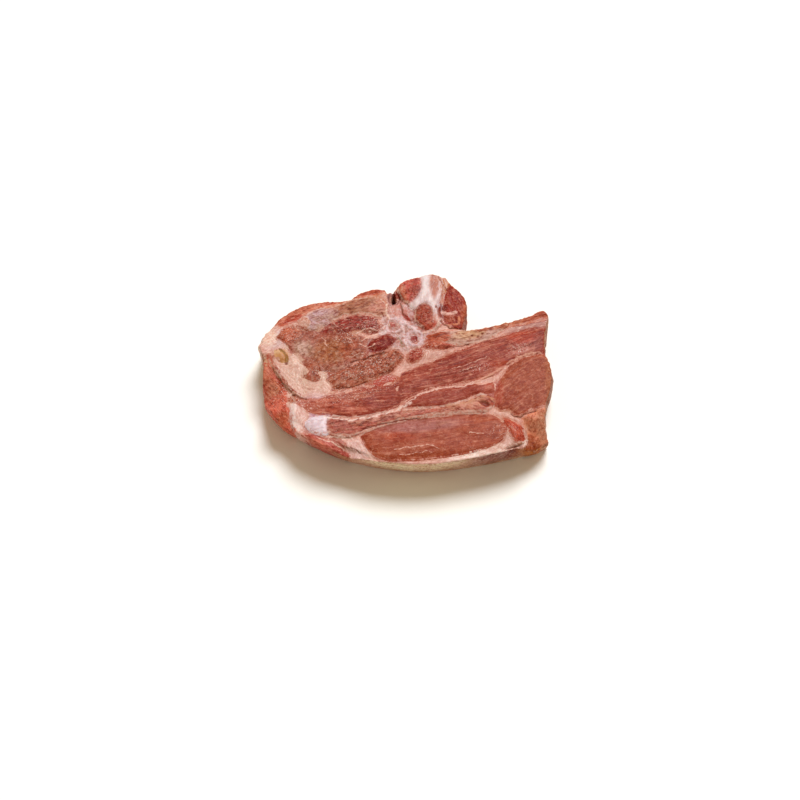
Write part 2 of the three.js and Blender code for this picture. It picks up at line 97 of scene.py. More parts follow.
# Patches of another tone, on each piece and on the dried outer side, the rind. They cover what lies
# under them, or as much of it as their strength says.
tones = {
    "fat_seams": [
        oval(-66, 4, 30, 40, color="#c9a391"),
        oval(-60, -38, 16, 20, color="#c094a4"),
        oval(-74, -36, 6, 16, -10, color="#e4c4c0"),
        oval(-88, 22, 14, 10, 40, color="#c8a9a9"),
        oval(2, 32, 24, 30, -30, color="#905044"),
        oval(14, 6, 26, 9, 15, color="#bb7f6c"),
        oval(60, -66, 44, 14, 18, color="#ecdcd4", strength=0.9),
        oval(-22, -62, 16, 12, -30, color="#dbaca0", strength=0.9),
        oval(88, 34, 26, 8, 20, color="#923416", strength=0.9),
        oval(-6, 51, 10, 9, color="#a45c4a", strength=0.9),
        oval(-97, 0, 8, 12, color="#c8a080"),
        oval(58, -64, 10, 6, 20, color="#c49684", strength=0.9),
        oval(-46, 26, 24, 9, 15, color="#b8785c", strength=0.9),
        oval(-30, 52, 40, 9, 15, color="#c07c5c", strength=0.8),
        oval(27, 66, 8, 10, -50, color="#b8744c"),
        oval(-5, 46, 7, 10, color="#c07a6a", strength=0.9),
        oval(-94, 24, 9, 12, color="#e2c2b0"),
        oval(66, -40, 17, 9, 10, color="#c08670", strength=0.9),
        oval(71, -61, 8, 7, color="#b47c6a", strength=0.8),
        oval(77, -67, 13, 10, color="#8a4828"),
        oval(-9, -17, 9, 7, color="#b87c68", strength=0.9),
        oval(66, -56, 7, 6, 40, color="#b47a66", strength=0.9),
        oval(-67.5, -38, 5, 13, color="#c48a72", strength=0.9),
        oval(-9, 33, 8, 10, color="#96584c", strength=0.8),
        oval(-31, -66, 13, 9, -40, color="#d6b2ae"),
        oval(-71, -42, 8, 12, -10, color="#d4aca4"),
        oval(2, 43, 8, 9, color="#b4625a", strength=0.9),
    ],
    "muscle_chuck": [
        oval(-80, 26, 12, 10, 30, color="#bc6044", strength=0.9),
        oval(-69, 14, 10, 8, -30, color="#c1998d"),
        oval(-51, 12, 18, 14, 10, color="#a5623e", strength=0.9),
        oval(-36, 14, 12, 14, color="#a34d30", strength=0.9),
    ],
    "blade_bone": [
        oval(-42, -49, 13, 9, color="#a85c50"),
        oval(-12, -41, 34, 3, 12, color="#c68e80", strength=0.8),
        oval(40, -32, 24, 6, 10, color="#c88a76", strength=0.8),
    ],
    "rib_bone": [
        oval(-62, 38, 20, 11, 20, color="#c39fa6"),
        oval(-18, 48, 9, 10, color="#cb8f80"),
    ],
    "rib_end": [
        oval(44, 26, 15, 7, 10, color="#c89c7c", strength=0.9),
    ],
    "vertebra_cartilage": [
        oval(27, 64, 7, 20, color="#c08872"),
        oval(20.6, 66, 5.0, 17, 4, color="#b05828"),
        oval(25, 50, 5, 10, color="#b46a5a"),
        oval(21, 38, 6, 6, color="#cf9c90"),
    ],
    "vertebra_body": [
        oval(-2, 58, 5, 14, 10, color="#b86444", strength=0.7),
        oval(8, 60, 6, 12, color="#983c2e", strength=0.7),
    ],
    "muscle_infraspinatus": [
        # painted sheen: a pale pinkish grey over the upper half
        oval(10, -48, 40, 7, 6, color="#a46864", strength=0.8),
        oval(0, -70, 40, 7, -4, color="#954222", strength=0.8),
        oval(-4, -57, 14, 5, color="#ae4c30", strength=0.8),
    ],
    "muscle_serratus": [
        oval(84, 16, 14, 12, 20, color="#9b564d", strength=0.8),
        oval(80, 23, 14, 8, 10, color="#b04630", strength=0.8),
        # painted sheen: a shiny pink patch
        oval(81, 12, 12, 4, 8, color="#b87268", strength=0.9),
        oval(34, 4, 16, 6, 22, color="#862c20", strength=0.8),
        oval(52, 15, 10, 5, 15, color="#b06454", strength=0.7),
        oval(62, 1, 11, 5, 15, color="#ab4a32", strength=0.8),
        oval(4, -12, 13, 6, 20, color="#a04a36", strength=0.8),
        # painted highlight: a brighter patch
        oval(-32, -25, 13, 4, 8, color="#b87464", strength=0.9),
        oval(-46, -24, 12, 5, 10, color="#ab6a60", strength=0.8),
        oval(-28, -30, 14, 5, 8, color="#8c3426", strength=0.7),
    ],
    "muscle_supraspinatus": [
        oval(70, -26, 12, 9, color="#903515", strength=0.7),
        oval(99, -12, 6, 32, color="#a8603e"),
    ],
    "muscle_neck": [
        oval(-95, -3, 9, 14, -20, color="#b4684c", strength=0.7),
        oval(-89, -15, 7, 7, color="#d88a70", strength=0.9),
        oval(-83, -12, 4, 11, 30, color="#a0442e", strength=0.9),
        oval(-82, -40, 6, 7, color="#c46a4c", strength=0.8),
    ],
    "muscle_between_ribs": [
        oval(-71, 46, 26, 7, 28, color="#d0826a", strength=0.9),
        oval(-76.5, 38.5, 6, 4.5, 30, color="#b8402a", strength=0.9),
        oval(-38, 53, 15, 6, 15, color="#b4633e", strength=0.8),
    ],
    "muscle_backbone": [
        oval(43, 42, 6, 16, color="#b86044", strength=0.8),
        oval(30, 40, 9, 5, 10, color="#a85a44", strength=0.6),
    ],
    "muscle_breast_tip": [
        oval(-57, -64, 16, 6, -35, color="#c86c58"),
    ],
    "neck_ligament": [
        oval(-88, 14, 6, 6, color="#d8b08c", strength=0.9),
    ],
    "muscle_chest": [
        oval(82, -62, 14, 12, color="#8c3c16"),
        oval(81, -45, 12, 8, color="#c07c60", strength=0.8),
        oval(92, -44, 6, 18, color="#c08468", strength=0.9),
    ],
    "rind": [
        oval(3, -80, 64, 14, color="#e4d2ae"),
        oval(66, -72, 32, 14, 14, color="#741a00"),
        oval(88, -66, 18, 16, color="#b26628"),
        oval(100, -20, 8, 80, color="#8c5232"),
        oval(-84, -48, 30, 24, -45, color="#b4644a"),
        oval(-60, 50, 60, 20, 25, color="#b0583e"),
        oval(-100, 22, 10, 16, 20, color="#ecd4c4"),
        oval(28, 70, 14, 10, -40, color="#ac6238"),
        oval(42, 48, 9, 26, color="#a4512f"),
        oval(86, 46, 16, 14, color="#bc7460", strength=0.9),
        oval(56, 36, 12, 12, color="#c89a86", strength=0.9),
        oval(-34, 60, 12, 12, color="#c08a74", strength=0.8),
        oval(10, 76, 12, 10, color="#b0614c", strength=0.9),
    ],
}

# Places of the outer side where the muscle is bare.
bareSides = [
    oval(-84, -46, 44, 44),
]

# Spots with more muscle (gain above 0) or more fat than the piece has there, in mm of border.
spots = [
    oval(5.9, 22.4, 3.4, 3.8, gain=14, color="#8c2c26"),
    oval(-8, 33.5, 2.6, 2.8, gain=12, color="#aa5046"),
    oval(0.5, 40.3, 4.8, 2.2, -45, gain=9, color="#a0342c"),
    oval(-3, 47, 2.2, 4.8, 20, gain=6, color="#b04c40"),
    oval(-71, -28, 7, 4.5, -20, gain=5, color="#a8503c"),
    oval(-38, -16.5, 17, 3, 14, gain=5, color="#a85a42"),
    oval(-17, -10.5, 11, 2.6, 24, gain=4, color="#a85a42"),
    oval(78, 36, 27, 3.4, 12, gain=5, color="#b8694c"),
    oval(93, 41, 8, 5, 30, gain=5, color="#b45c42"),
    oval(-56, -6, 3.6, 2.4, 20, gain=-3),
    oval(60, -21, 5.5, 11, gain=5, color="#a8503e"),
    oval(57, -8, 10, 4, 30, gain=2.6, color="#b06454"),
    oval(18, 32, 5, 3, 20, gain=4, color="#b4503e"),
    oval(-69, 3, 5, 2.4, -40, gain=1.6),
    oval(-27, 17, 8, 9, gain=3.4),
    oval(-22, 10, 12, 5, 25, gain=2.6),
    oval(-22, 26.5, 8, 2.5, gain=3, color="#984838"),
    oval(-52, 26, 14, 4, -10, gain=2.4),
    oval(-76.5, 38, 6, 4, 30, gain=2.0, color="#b04a34"),
    oval(-67.5, 36, 5, 4, 20, gain=-4),
    oval(-72.5, 7, 6, 4, -50, gain=-3.2),
    oval(-67.5, -4, 5, 3.6, -40, gain=-4),
    oval(-61.5, -9.5, 5, 3.4, -10, gain=5, color="#a85844"),
    oval(-92, 31, 7, 7, 40, gain=-6),
    oval(-97, 20, 5, 8, gain=-6),
    oval(-12, -15, 3.4, 1.6, 20, gain=-7),
    oval(-5, -19, 1.6, 3, -20, gain=-9),
    oval(-43.5, -60, 8, 3, -25, gain=4, color="#b0685a"),
    oval(53, -13.5, 6, 2.6, 20, gain=-5),
    oval(-8, -10, 4, 3.4, gain=6, color="#aa5a44"),
    oval(-96.5, 2, 3.6, 7, gain=-4),
    oval(-86, 15, 4, 3.4, gain=-4),
    oval(-79, -30, 3, 3.4, gain=-3),
    oval(-79.5, -41, 2.4, 4, gain=-2.4),
    oval(-75, -26, 4, 3, gain=2.6, color="#b06850"),
    oval(25, 45, 2.6, 6, gain=3, color="#86301e"),
    oval(21, 22, 9, 5, 15, gain=2.6, color="#b4583e"),
    oval(52, 29, 16, 4, 20, gain=2.2),
    oval(-14, -12, 7, 3, 20, gain=2.4, color="#b04a3a"),
    oval(-47, -32, 18, 5, -10, gain=1.2, color="#a8503c"),
    oval(-7, -17, 3, 9, -10, gain=-3.6),
    oval(-30, -24, 12, 2.6, 15, gain=-2.6),
    oval(-78, -26, 4, 7, 30, gain=-3.5),
    oval(-35, 5.5, 12, 2.4, 15, gain=-1.6),
    oval(-14, 6, 10, 2.2, 25, gain=-2.2),
    oval(-20, 34, 6, 3.4, 30, gain=-2.6),
    oval(-45, 22, 5, 2.6, gain=-2.0),
    oval(58, -10, 5, 4, gain=-2.6),
    oval(-60, -1, 9, 5, gain=3),
    oval(-48, -8, 8, 4, 20, gain=2),
    oval(-63, -30, 10, 8, -20, gain=3.2, color="#b0604e"),
    oval(-80, -20, 6, 5, gain=-2.5),
]

# Lines on the upper face: pale lines of fat in a muscle, and cracks, real grooves darkened with painted
# shade. A pale line has the tone and lift of paleLine, if it gives none of its own.
paleLine = dict(color="#dcae9e", lift=0.12)
paleLines = [
    line(0.34, (-7, -66.4), (8, -63.8), (15, -62.4), (22.5, -65.8)),
    line(0.28, (-3.5, -70.4), (6.5, -69.6), (13, -67.3), (17.7, -69)),
    line(0.26, (43, -53.5), (52.5, -54.2)),
    line(0.25, (40, -63), (46, -66)),
    # the bright sheet between the serratus and the two muscles below it
    line(0.6, (-7, -37), (2, -28.8), (11, -22.6), (20, -19.4), (29, -17.8), (40, -16.6),
         (47, -13.6), color="#e0b8ac", lift=0.25),
    line(0.7, (47, -13.6), (53.5, -10), (60, -5.8), (65.5, -2.8), (70, 2.2), (76, 6.4), (83, 9.4),
         (92, 11), color="#d49c88", lift=0.2),
    line(1.1, (28, -31.4), (41.6, -30.4), (48.4, -26.8), (55.9, -24.8), (59.6, -28.4),
         color="#bc8468", lift=0.3),
    line(1.2, (26.5, 43.6), (30.5, 42.8), (35.3, 43.6), color="#e2b4a8"),
    line(0.8, (38, 40), (36, 35), (30, 33.5), color="#cf8464"),
    line(0.3, (37, -5), (51, 0)),
    line(0.25, (30, -4), (44, 1), (56, 6)),
    line(0.3, (-57, 24), (-54.5, 21), (-53.5, 16)),
    line(0.3, (-49.5, 35), (-46, 31.5), (-42, 28)),
    line(0.32, (-40, 24), (-36.5, 19), (-33.5, 15.5)),
    line(0.35, (-41, 6), (-34, 8.5), (-27, 11)),
    line(0.6, (-29, 21), (-24, 25), (-18, 26)),
    line(0.5, (-31, 18), (-25, 15), (-20, 17)),
    line(0.5, (-33, 27), (-26, 30), (-19, 29)),
    line(0.5, (60, -8), (61, -20)),
    line(0.9, (-55, -41.5), (-44, -43), (-35, -43.5), (-21, -41), (-5, -35), (4, -30), color="#e4c6bc"),
    # painted shade: a dark red line in the crevice beside the neck muscle
    line(0.7, (-88, 1), (-85, -5), (-78.4, -16), (-71, -23.6), color="#8c3424"),
    line(2.0, (-75, -31), (-75.6, -38), (-74, -45), (-70, -50), color="#e8d0cc", lift=0.1),
    line(0.5, (-58, -56.5), (-46, -62), (-40, -65.5), color="#dcb8a8"),
    line(0.6, (-52, -56.5), (-36, -56.5), (-26, -65.5), (-21.5, -74), color="#e0bcb0"),
    # membranes of the vertebra's lower side
    line(0.8, (-13, 33), (-11, 38), (-7, 39.5), (-3, 37), (-2, 33), (-4, 29), (-8, 27.5), (-12, 29),
         (-13, 33), color="#d2b2b4", lift=0.35),
    line(0.9, (0.5, 22), (2.5, 27), (7, 28.5), (11, 26), (12, 21), (9, 17), (4, 16.5), (0.5, 22),
         color="#ceb0b6", lift=0.4),
    line(1.5, (-3, 37), (2, 34), (6, 31), (9, 28), color="#dcc2c4", lift=0.4),
    line(0.9, (-2, 33), (-1, 27), (0, 21), (3, 13), color="#d8bcbc", lift=0.35),
    line(0.9, (11, 26), (16, 28), (21, 30), (24, 36), color="#d2ac9e", lift=0.3),
    line(0.9, (-11, 38), (-13, 44), (-12, 50), color="#dcb8a8", lift=0.3),
    # painted shade: a near-black line in the ragged mouth of the hole beside the backbone
    line(2.0, (-9.5, 57.5), (-6.5, 53.5), (-5.2, 55.5), color="#4c160e", lift=-0.6),
    line(1.2, (-16, 26), (-12, 29), color="#e0c8c8", lift=0.2),
    line(0.8, (-5.5, 24.5), (-3, 21), (-1, 16), color="#80603e", lift=-0.4),
]
shadedCracks = [
    line(0.35, (-30, -53), (-23, -49.5), (-13, -46.5), (-3, -44), (10, -42.5), depth=0.5),
    line(0.35, (71, -37.8), (73.5, -40.4), (77, -41), (82, -38), (88, -35.6), depth=0.6),
    line(0.6, (-76, -23), (-71, -25.5), (-66, -27), depth=0.7),
    line(0.4, (23, 75), (29.5, 63), depth=0.5),
    line(1.7, (-10, 57), (-3, 54), depth=0.6),
    line(0.5, (25, 36), (31, 31), (40, 32), depth=0.8),
    line(0.5, (-37, 3), (-29, 5.5), (-14, 11), depth=0.6),
    line(0.25, (-46, -18.5), (-36, -17), (-26, -13), depth=0.3),
    line(0.3, (-36.5, -63.8), (-29, -68.6), depth=0.3),
    line(0.4, (28, 14.5), (44, 17), depth=0.4),
    line(0.5, (-4, 56), (-2, 49), (-1.5, 43), (2, 38.6), (5, 37), depth=0.7),
    line(0.3, (-16, 44), (-14.5, 40), depth=0.3),
    line(0.8, (-85.4, 13.5), (-82.2, 10.6), (-80.3, 6.1), (-80.5, 1.7), depth=0.7),
]

# Small hollows, with their depth in mm, darkened with painted shade in the crack's tone.
hollows = [
    oval(53.4, -30.8, 4.6, 2.2, -25, depth=1.4),
    oval(40, 26.5, 1.4, 1.0, depth=0.8),
    oval(46, 25, 1.2, 0.9, depth=0.7),
    oval(50, 23.5, 1.3, 0.9, 20, depth=0.7),
    oval(53, 26, 1.1, 0.8, depth=0.7),
    oval(21.5, 48, 1.0, 1.4, depth=0.6),
    oval(-7.8, 55.8, 4.2, 5.0, -20, depth=1.4),
]

# Places where the outer side stands out or lies back, in mm.
bulges = [
    oval(-72, 50, 34, 14, 30, push=0.9),
    oval(-9, 62, 7, 8, push=0.8),
    oval(36, 62, 14, 16, push=0.9),
    oval(80, 42, 24, 12, 16, push=0.5),
    oval(99, 38, 9, 16, push=0.9),
    oval(99, -58, 9, 13, push=-1.4),
]

softPieces = ["vertebra_body", "vertebra_cartilage", "vertebra_arch", "blade_bone", "blade_cartilage"]

# Places of painted glints: small white highlights of the moist surface, painted into the colour.
paintedGlints = [
    oval(-80, -20, 16, 13),
    oval(-66, -28, 16, 8, -15),
    oval(-40, 24, 12, 7, 20),
    oval(-22, 33, 12, 8),
    oval(-26, 0, 22, 10, 25, strength=0.9),
    oval(-78, 27, 12, 9, 30, strength=0.8),
    oval(-56, -6, 10, 6, strength=0.9),
    oval(10, 14, 14, 8, 10, strength=0.9),
    oval(-58, 38, 20, 10, 15, strength=0.6),
    oval(51, -2, 10, 4, 15, strength=0.9),
    oval(78, 14, 10, 5, 15),
    oval(-42, -24, 26, 9, 8, strength=0.8),
    oval(-16, -15, 16, 7, 20, strength=0.8),
    oval(66, -52, 14, 8, strength=0.6),
]

# Places where the groove between two pieces is evened out more.
deepJoints = [
    oval(-93, 7, 8, 8),
    oval(-77, -38, 5, 18),
]

# How the skin is made and cut: lengths in mm, rounds and degrees.
skinWork = dict(
    voxel=0.55,  # size of the skin's faces
    grow=0.25,  # each solid swells by this before the join, which closes the gaps between them
    sharpest=1.6,  # a sharp corner swells by no more than this many times that
    soften=6,  # smoothing rounds
    wallDepth=0.7,  # a face deeper under the skin than this is a wall between two pieces
    levels=(2.5, 23.5),  # walls are looked for between these heights, off the rounded edges
    jointWidth=1.3,  # how far from a joint the skin is evened out
    jointSteps=14,  # rounds of that
    deepWidth=2.5,  # the same in deepJoints,
    deepSteps=40,
    deepFrom=12,  # and above this height
    softWidth=3,  # how far from a joint the colours of the vertebra's pieces pass into each other
    softSteps=10,
    onSkin=1.0,  # a corner of a cutting block that is this close to the skin is moved out past it,
    reach=3.0,  # by this much
    side=0.16,  # how far a cutting block passes the solid's walls, half the gap between two solids
    facingUp=0.3,  # the upper face is where the normal points up by more than this
    sharpAngle=58,  # faces that meet at more than this show a sharp edge
)

# Where the effect of an oval begins, and where it is full, as shares of the way from middle to rim.
fades = dict(
    tone=(1.0, 0.4), spot=(1.25, 0.3), spotTone=(1.3, 1.0), bare=(1.1, 0.7), paintedGlint=(1.2, 0.5),
    hollow=(1.15, 0.5), bulge=(1.0, 0.6), frayed=(1.2, 0.6), web=(1.0, 0.7))

# How outlines wander: how far and over what length, in mm, and the seeds of the two directions.
wanders = [(0.8, 4, (1, 2)), (0.3, 1.4, (3, 4))]

# The border of flesh and fat: how far it bends, in mm.
borderWork = dict(
    lump=5.5,  # length of a bend
    top=0.6,  # on the upper face
    frayed=1.0,  # and so much more in the broad brown muscle
    frayedPlace=oval(-46, 4, 50, 42),
    side=2.0,  # on the outer side
    shift=0.15,  # all of it moves into the fat
    spotBend=0.6,  # share of the wander that the spots take part in
)

# The dried outer side.
rindWork = dict(
    tone="#b07a5a",  # where tones gives none
    bare=0.85,  # how much of it bareSides take off
    gap=5,  # a wall with another wall closer than this is in a groove and not on the outer side
    clear=0.5,  # how far outside the look for that wall begins
    foot=0.75,  # share of the pale band along the foot: the fat's pale edge, brightened with painted light bounced from the floor
    footPaleAndLitTone="#e4c29c",
    footHeight=(8.0, 0.5),  # where the band fades out, and where it is full
    footLump=8,  # size of the lumps of its upper edge
    footUneven=2.5,  # height of those lumps
)

# The relief: the height and length of each kind of lump in mm, and its seed.
bumps = dict(
    fibres=(1.0, 1.5, 5),  # times the piece's own relief, like the next two
    fineFibres=(0.6, 0.9, 6),
    bundles=(0.9, 4.5, 7),
    swell=(0.25, 12, 8),  # broad swelling of a muscle
    dry=(0.12, 2.6, 9),  # wrinkles of the drying muscle
    fatStreaks=(0.12, 1.1, 10),
    fatSwell=(0.25, 8, 11),
    webLumps=(0.35, 4.2, 12),  # the lumpy web round the vertebra
    webGrain=(0.20, 1.8, 13),
    sideSwell=(0.45, 9, 14),
    sideGrain=(0.28, 3.2, 15),
    ragged=(0.35, 2.2, 16),  # the torn edge just under the upper face
)
reliefWork = dict(
    muscleFibres=0.7,  # share of the fibres that a muscle shows
    boneFibres=0.4,  # the same of a bone
    boneHole=1.9,  # distance of the marrow holes from each other
    boneHoles=1.2,  # their depth, times the bone's own relief
    joint=0.10,  # depth of the fine line between two pieces
    jointLine=0.6,  # its width
    ragged=(19, 25),  # heights where the torn edge begins and is full
    underside=0.6,  # share of the hollows on the lower face
    limits=(-1.6, 1.0),
)
webPlace = oval(2, 34, 22, 26, -30)
holeTone = "#8c3020"
paintedGlintBase = 0.12  # strength of the glints outside their places
farAway = 99  # stands for a distance to a line where there is none
lineReach = 20  # distances to lines are kept up to this many widths
onTop = 0.1  # share of the upper face from which lines are drawn


def linearColor(hexColor):
    channels = [int(hexColor[i:i + 2], 16) / 255 for i in (1, 3, 5)]
    return [c / 12.92 if c <= 0.04045 else ((c + 0.055) / 1.055) ** 2.4 for c in channels] + [1.0]


def smoothStep(low, high, value):
    share = np.clip((value - low) / (high - low), 0, 1)
    return share * share * (3 - 2 * share)


def newObject(name, mesh):
    piece = bpy.data.objects.new(name, mesh)
    bpy.context.scene.collection.objects.link(piece)
    return piece


def evaluatedMesh(piece):
    depsgraph = bpy.context.evaluated_depsgraph_get()
    return bpy.data.meshes.new_from_object(piece.evaluated_get(depsgraph))


def mergedSolid(names, grow):
    bm = bmesh.new()
    for name in names:
        bm.from_mesh(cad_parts[name].data)
    bmesh.ops.remove_doubles(bm, verts=bm.verts, dist=1e-3 * mm)
    bm.normal_update()
    sharpest = skinWork["sharpest"]
    moves = [v.normal * min(v.calc_shell_factor(), sharpest) * grow * mm for v in bm.verts]
    for v, move in zip(bm.verts, moves):
        v.co += move
    bm.normal_update()
    return bm


def readPoints(mesh, what="co"):
    values = np.empty(len(mesh.vertices) * 3, np.float32)
    mesh.vertices.foreach_get(what, values)
    return values.reshape(-1, 3).astype(float)


# ---- the skin
def joinedSkin():
    bm = mergedSolid(sorted(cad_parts), skinWork["grow"])
    mesh = bpy.data.meshes.new("skin")
    bm.to_mesh(mesh)
    bm.free()
    skin = newObject("skin", mesh)
    remesh = skin.modifiers.new("one skin", "REMESH")
    remesh.mode = "VOXEL"
    remesh.voxel_size = skinWork["voxel"] * mm
    soften = skin.modifiers.new("soften", "SMOOTH")
    soften.factor = 0.5
    soften.iterations = skinWork["soften"]
    whole = evaluatedMesh(skin)
    skin.modifiers.clear()
    # small closed bubbles that the join leaves inside go
    bm = bmesh.new()
    bm.from_mesh(whole)
    bm.verts.ensure_lookup_table()
    seen = [False] * len(bm.verts)
    islands = []
    for start in bm.verts:
        if seen[start.index]:
            continue
        seen[start.index] = True
        island = [start]
        for v in island:
            for e in v.link_edges:
                other = e.other_vert(v)
                if not seen[other.index]:
                    seen[other.index] = True
                    island.append(other)
        islands.append(island)
    islands.sort(key=len)
    print("skin islands", [len(i) for i in islands][-5:])
    bmesh.ops.delete(bm, geom=[v for i in islands[:-1] for v in i], context="VERTS")
    bm.to_mesh(whole)
    bm.free()
    skin.data = whole
    return skin


skin = joinedSkin()
skinPoints = readPoints(skin.data)
skinNormals = readPoints(skin.data, "normal")
print("skin faces", len(skin.data.polygons))

# ---- which solid each place of the skin belongs to, and the walls between the solids
nodeNames = sorted(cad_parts)
kinds = [pieces[name]["kind"] for name in nodeNames]
skinTree = BVHTree.FromObject(skin, bpy.context.evaluated_depsgraph_get())


def ofKind(owner, *wanted):
    return np.isin(owner, [number for number, kind in enumerate(kinds) if kind in wanted])


def solidTrees():
    # all solids, all but the fat, and the two kinds of walls: of the fat and of everything else
    trees = {part: ([], [], []) for part in ("all", "flesh", "fleshWalls", "fatWalls")}
    for number, name in enumerate(nodeNames):
        isFat = kinds[number] == "fat"
        bm = mergedSolid([name], 0)
        for part, (corners, faces, owners) in trees.items():
            if isFat and part in ("flesh", "fleshWalls") or not isFat and part == "fatWalls":
                continue
            first = len(corners)
            corners += [v.co.copy() for v in bm.verts]
            for face in bm.faces:
                if "Walls" in part:
                    depth = skinTree.find_nearest(face.calc_center_median())[3]
                    if depth < skinWork["wallDepth"] * mm:
                        continue
                faces.append([first + v.index for v in face.verts])
                owners.append(number)
        bm.free()
    return {part: (BVHTree.FromPolygons(c, f), np.array(o)) for part, (c, f, o) in trees.items()}


trees = solidTrees()


def placesOf(points):
    # for each point: its solid, the nearest solid that isn't fat, and the distances in mm to the
    # nearest wall between two pieces and to the nearest wall of the fat
    owner, flesh = np.empty((2, len(points)), int)
    edge, border = np.empty((2, len(points)))
    solids, fleshSolids, walls, fatWalls = [tree.find_nearest for tree, _ in trees.values()]
    low, high = (height * mm for height in skinWork["levels"])
    for i, place in enumerate(points.tolist()):
        owner[i] = solids(place)[2]
        flesh[i] = fleshSolids(place)[2]
        level = [place[0], place[1], min(max(place[2], low), high)]
        edge[i] = walls(level)[3]
        border[i] = fatWalls(level)[3]
    owner = trees["all"][1][owner]
    flesh = trees["flesh"][1][flesh]
    isFat = ofKind(owner, "fat")
    return owner, np.where(isFat, flesh, owner), edge / mm, np.where(isFat, -border, border) / mm


owner, flesh, edge, border = placesOf(skinPoints)
print("places found")
edgeEnds = np.empty(len(skin.data.edges) * 2, np.int32)
skin.data.edges.foreach_get("vertices", edgeEnds)
edgeEnds = edgeEnds.reshape(-1, 2)


def evened(values, mask, steps):
    # averages the values of corners in the mask with those of their neighbours
    ends = edgeEnds[mask[edgeEnds[:, 0]] | mask[edgeEnds[:, 1]]]
    both = np.concatenate([ends, ends[:, ::-1]])
    count = np.bincount(both[:, 0], minlength=len(mask)) + 1
    values = values.copy()
    for _ in range(steps):
        for channel in range(values.shape[1]):
            near = np.bincount(both[:, 0], values[both[:, 1], channel], minlength=len(mask))
            mean = (values[:, channel] + near) / count
            values[mask, channel] = mean[mask]
    return values


def within(points, shape, kind):
    # the share of an oval's effect
    return smoothStep(*fades[kind], ovalDistance(points, shape))


def ovalDistance(points, shape):
    # 0 in the middle of an oval and 1 at its rim
    turn = math.radians(shape["turn"])
    away = points[:, :2] - shape["at"]
    along = (away[:, 0] * math.cos(turn) + away[:, 1] * math.sin(turn)) / shape["size"][0]
    across = (away[:, 1] * math.cos(turn) - away[:, 0] * math.sin(turn)) / shape["size"][1]
    return np.hypot(along, across)


# the groove between two solids isn't there on the real slice, where their tissues have grown together
joint = (edge < skinWork["jointWidth"]) & (skinNormals[:, 2] > skinWork["facingUp"])
skinPoints = evened(skinPoints, joint, skinWork["jointSteps"])
joint = np.min([ovalDistance(skinPoints / mm, shape) for shape in deepJoints], axis=0) < 1
joint &= (skinPoints[:, 2] > skinWork["deepFrom"] * mm) & (edge < skinWork["deepWidth"])
skinPoints = evened(skinPoints, joint, skinWork["deepSteps"])
skin.data.vertices.foreach_set("co", skinPoints.astype(np.float32).ravel())
skin.data.update()
skinNormals = readPoints(skin.data, "normal")


def lumps(points, size, seed):
    # soft noise from about -1 to 1, for points in mm, with lumps of some mm
    shift = seed * np.array([17.3, 5.1, 9.7])
    return np.array([noise.noise(q) for q in (points / size + shift).tolist()]) * 1.6


def lineDistance(points, wobble, lines):
    # distance to the nearest line in widths of that line, and the line's number
    flat = points[:, :2] + wobble
    best = np.full(len(points), float(farAway))
    which = np.zeros(len(points), int)
    for number, stroke in enumerate(lines):
        ends = [np.array(end, float) for end in stroke["points"]]
        for a, b in zip(ends, ends[1:]):
            share = np.clip(((flat - a) @ (b - a)) / ((b - a) @ (b - a)), 0, 1)
            away = np.linalg.norm(flat - a - share[:, None] * (b - a), axis=1) / stroke["width"]
            nearer = away < best
            best[nearer] = away[nearer]
            which[nearer] = number
    return best, which


def toned(points, base, name):
    color = np.tile(linearColor(base), (len(points), 1))
    for tone in tones.get(name, []):
        share = within(points, tone, "tone")[:, None] * tone.get("strength", 1)
        color = color * (1 - share) + np.array(linearColor(tone["color"])) * share
    return color


# ---- values of the whole skin
p = skinPoints / mm
n = skinNormals
top = smoothStep(0.35, 0.8, n[:, 2])
under = smoothStep(0.3, 0.8, -n[:, 2])
side = 1 - np.maximum(top, under)
wobble = sum(far * np.stack([lumps(p, size, seed) for seed in seeds], 1) for far, size, seeds in wanders)
bent = np.c_[wobble, np.zeros(len(p))]

grain = np.zeros_like(p)
relief = np.zeros(len(p))
coarse = np.zeros(len(p))
fleshTint = np.zeros((len(p), 4))
for number, name in enumerate(nodeNames):
    mine = flesh == number
    look = pieces[name]
    turn = math.radians(look["angle"])
    x = p[mine, 0] * math.cos(turn) + p[mine, 1] * math.sin(turn)
    y = -p[mine, 0] * math.sin(turn) + p[mine, 1] * math.cos(turn) - look.get("bend", 0) * x * x
    grain[mine] = np.stack([x / look["length"], y, p[mine, 2]], 1)
    coarse[mine] = look["coarse"]
    fleshTint[mine] = toned(p[mine], look["color"], name)
    relief[owner == number] = look.get("relief", 0)
fatTint = toned(p, pieces["fat_seams"]["color"], "fat_seams")
rindTint = toned(p, rindWork["tone"], "rind")
flow = np.stack([p[:, 0] / 6, p[:, 1] / 6, border * 0.7 + p[:, 2] / 4], 1)

frayed = within(p, borderWork["frayedPlace"], "frayed")
bend = top * (borderWork["top"] + borderWork["frayed"] * frayed) + side * borderWork["side"]
border += bend * lumps(p, borderWork["lump"], 17) + borderWork["shift"]
for spot in spots:
    border += spot["gain"] * within(p + bent * borderWork["spotBend"], spot, "spot") * top
    if "color" in spot:
        share = (within(p + bent * borderWork["spotBend"], spot, "spotTone") * top)[:, None]
        fleshTint = fleshTint * (1 - share) + np.array(linearColor(spot["color"])) * share

groove = np.zeros(len(p))
for i in np.nonzero(side > 0.1)[0]:
    outward = Vector((n[i, 0], n[i, 1], 0)).normalized()
    start = Vector(skinPoints[i]) + outward * rindWork["clear"] * mm
    groove[i] = skinTree.ray_cast(start, outward, rindWork["gap"] * mm)[0] is not None
print("groove corners", int(groove.sum()))
rind = side * (1 - groove)
for patch in bareSides:
    rind *= 1 - rindWork["bare"] * within(p, patch, "bare")
